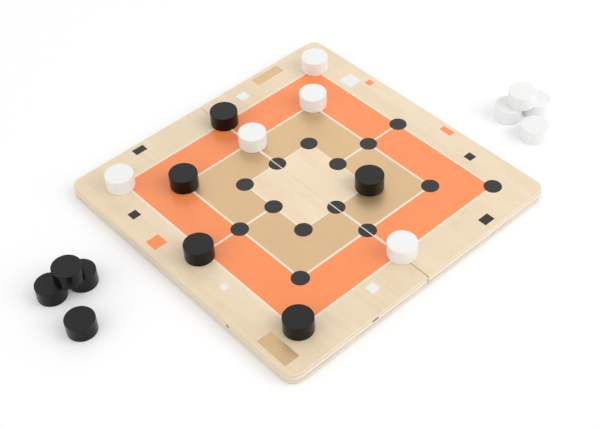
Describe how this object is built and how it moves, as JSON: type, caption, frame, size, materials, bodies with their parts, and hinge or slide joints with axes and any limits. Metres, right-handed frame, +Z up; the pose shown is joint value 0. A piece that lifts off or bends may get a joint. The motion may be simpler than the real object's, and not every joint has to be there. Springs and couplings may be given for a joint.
{
  "type": "nine mens morris box",
  "caption": "Folding plywood nine mens morris case, shown opened flat as a printed board with plain cylindrical black and white men on it and beside it.",
  "frame": {"origin": "on the table under the middle of the split between the two halves, which is also the middle of the whole set seen from above", "axes": "+X across the split towards the half that folds, +Y along the split and the hinge pins, +Z up out of the playing surface"},
  "size_m": [0.4102, 0.25, 0.0245],
  "materials": {
    "printed_panel": "light birch plywood, screen printed in orange, tan, cream and charcoal under a satin lacquer",
    "plywood_rail": "sanded birch plywood, veneers showing along the edge, satin lacquer",
    "brass_hinge": "brushed brass",
    "brass_screw": "turned brass",
    "steel_pin": "drawn steel wire",
    "magnet": "nickel plated",
    "felt": "pressed wool felt",
    "black_man": "turned wood, black satin paint",
    "white_man": "turned wood, white satin paint"
  },
  "bodies": {
    "left_half": {"left_playing_panel": "printed_panel", "left_outer_rail": "plywood_rail", "left_hinge_rail": "plywood_rail", "left_front_rail": "plywood_rail", "left_back_rail": "plywood_rail", "left_cross_rail": "plywood_rail", "left_magnets": "magnet", "left_hinge_screws": "brass_screw", "left_feet": "felt", "front_hinge_left_leaf": "brass_hinge", "back_hinge_left_leaf": "brass_hinge", "front_hinge_pin": "steel_pin", "back_hinge_pin": "steel_pin"},
    "right_half": {"right_playing_panel": "printed_panel", "right_outer_rail": "plywood_rail", "right_hinge_rail": "plywood_rail", "right_front_rail": "plywood_rail", "right_back_rail": "plywood_rail", "right_cross_rail": "plywood_rail", "right_magnets": "magnet", "right_hinge_screws": "brass_screw", "right_feet": "felt", "front_hinge_right_leaf": "brass_hinge", "back_hinge_right_leaf": "brass_hinge"},
    "black_man_1_body": {"black_man_1": "black_man"},
    "black_man_2_body": {"black_man_2": "black_man"},
    "black_man_3_body": {"black_man_3": "black_man"},
    "black_man_4_body": {"black_man_4": "black_man"},
    "black_man_5_body": {"black_man_5": "black_man"},
    "black_man_6_body": {"black_man_6": "black_man"},
    "black_man_7_body": {"black_man_7": "black_man"},
    "black_man_8_body": {"black_man_8": "black_man"},
    "black_man_9_body": {"black_man_9": "black_man"},
    "white_man_1_body": {"white_man_1": "white_man"},
    "white_man_2_body": {"white_man_2": "white_man"},
    "white_man_3_body": {"white_man_3": "white_man"},
    "white_man_4_body": {"white_man_4": "white_man"},
    "white_man_5_body": {"white_man_5": "white_man"},
    "white_man_6_body": {"white_man_6": "white_man"},
    "white_man_7_body": {"white_man_7": "white_man"},
    "white_man_8_body": {"white_man_8": "white_man"},
    "white_man_9_body": {"white_man_9": "white_man"}
  },
  "joints": [
    {"name": "fold", "type": "hinge", "parent": "left_half", "child": "right_half", "pos_m": [0, 0, 0.0011], "axis": [0, 1, 0], "range_deg": [0, 179.4]},
    {"name": "black_man_1_lift", "type": "slide", "parent": "left_half", "child": "black_man_1_body", "axis": [0, 0, 1], "range_m": [0, 0.03]},
    {"name": "black_man_2_lift", "type": "slide", "parent": "left_half", "child": "black_man_2_body", "axis": [0, 0, 1], "range_m": [0, 0.03]},
    {"name": "black_man_3_lift", "type": "slide", "parent": "right_half", "child": "black_man_3_body", "axis": [0, 0, 1], "range_m": [0, 0.03]},
    {"name": "black_man_4_lift", "type": "slide", "parent": "left_half", "child": "black_man_4_body", "axis": [0, 0, 1], "range_m": [0, 0.03]},
    {"name": "black_man_5_lift", "type": "slide", "parent": "left_half", "child": "black_man_5_body", "axis": [0, 0, 1], "range_m": [0, 0.03]},
    {"name": "black_man_6_lift", "type": "slide", "parent": "left_half", "child": "black_man_6_body", "axis": [0, 0, 1], "range_m": [0, 0.03]},
    {"name": "black_man_7_slide", "type": "slide", "parent": "left_half", "child": "black_man_7_body", "axis": [-1, 0, 0], "range_m": [0, 0.025]},
    {"name": "black_man_8_slide", "type": "slide", "parent": "left_half", "child": "black_man_8_body", "axis": [1, 0, 0], "range_m": [0, 0.025]},
    {"name": "black_man_9_lift", "type": "slide", "parent": "left_half", "child": "black_man_9_body", "axis": [0, 0, 1], "range_m": [0, 0.03]},
    {"name": "white_man_1_lift", "type": "slide", "parent": "right_half", "child": "white_man_1_body", "axis": [0, 0, 1], "range_m": [0, 0.03]},
    {"name": "white_man_2_lift", "type": "slide", "parent": "right_half", "child": "white_man_2_body", "axis": [0, 0, 1], "range_m": [0, 0.03]},
    {"name": "white_man_3_lift", "type": "slide", "parent": "left_half", "child": "white_man_3_body", "axis": [0, 0, 1], "range_m": [0, 0.03]},
    {"name": "white_man_4_lift", "type": "slide", "parent": "left_half", "child": "white_man_4_body", "axis": [0, 0, 1], "range_m": [0, 0.03]},
    {"name": "white_man_5_lift", "type": "slide", "parent": "left_half", "child": "white_man_5_body", "axis": [0, 0, 1], "range_m": [0, 0.03]},
    {"name": "white_man_6_lift", "type": "slide", "parent": "left_half", "child": "white_man_6_body", "axis": [0, 0, 1], "range_m": [0, 0.03]},
    {"name": "white_man_7_slide", "type": "slide", "parent": "left_half", "child": "white_man_7_body", "axis": [0, 1, 0], "range_m": [0, 0.025]},
    {"name": "white_man_8_slide", "type": "slide", "parent": "left_half", "child": "white_man_8_body", "axis": [1, 0, 0], "range_m": [0, 0.025]},
    {"name": "white_man_9_lift", "type": "slide", "parent": "left_half", "child": "white_man_9_body", "axis": [0, 0, 1], "range_m": [0, 0.03]}
  ]
}
